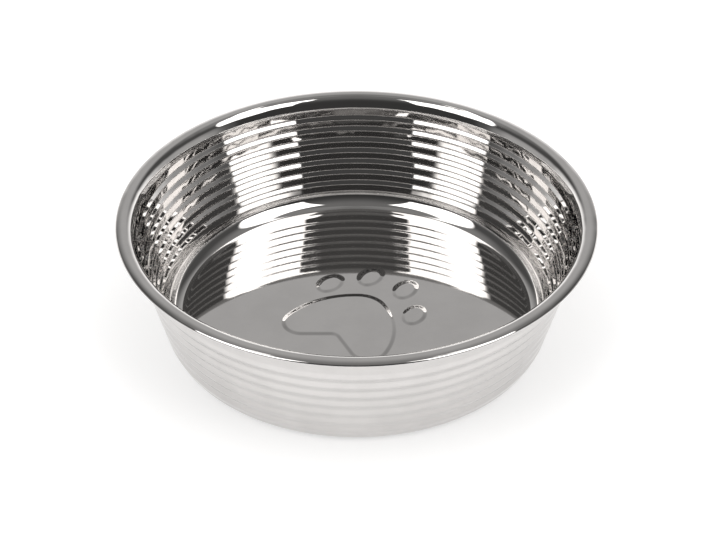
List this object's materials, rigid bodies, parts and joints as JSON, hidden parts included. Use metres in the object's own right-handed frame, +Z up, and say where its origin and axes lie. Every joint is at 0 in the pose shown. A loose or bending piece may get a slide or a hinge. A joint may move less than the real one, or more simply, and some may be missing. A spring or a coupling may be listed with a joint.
{
  "type": "double-walled dog bowl",
  "caption": "Round polished steel dog bowl with a rolled rim, ribbed double wall, a paw print raised from the floor and a rubber ring underneath.",
  "frame": {"origin": "centre of the ring's tread, on the surface that the bowl stands on", "axes": "+Z up along the bowl's axis; the paw's toes point 58 degrees from +X towards +Y"},
  "size_m": [0.24, 0.24, 0.0665],
  "materials": {
    "polished_steel": "mirror-polished stainless steel",
    "shell_steel": "bright stainless steel with a soft polish",
    "ring_rubber": "matt black rubber"
  },
  "bodies": {
    "root": {"inner_bowl": "polished_steel", "outer_shell": "shell_steel", "base_ring": "ring_rubber"}
  },
  "joints": []
}
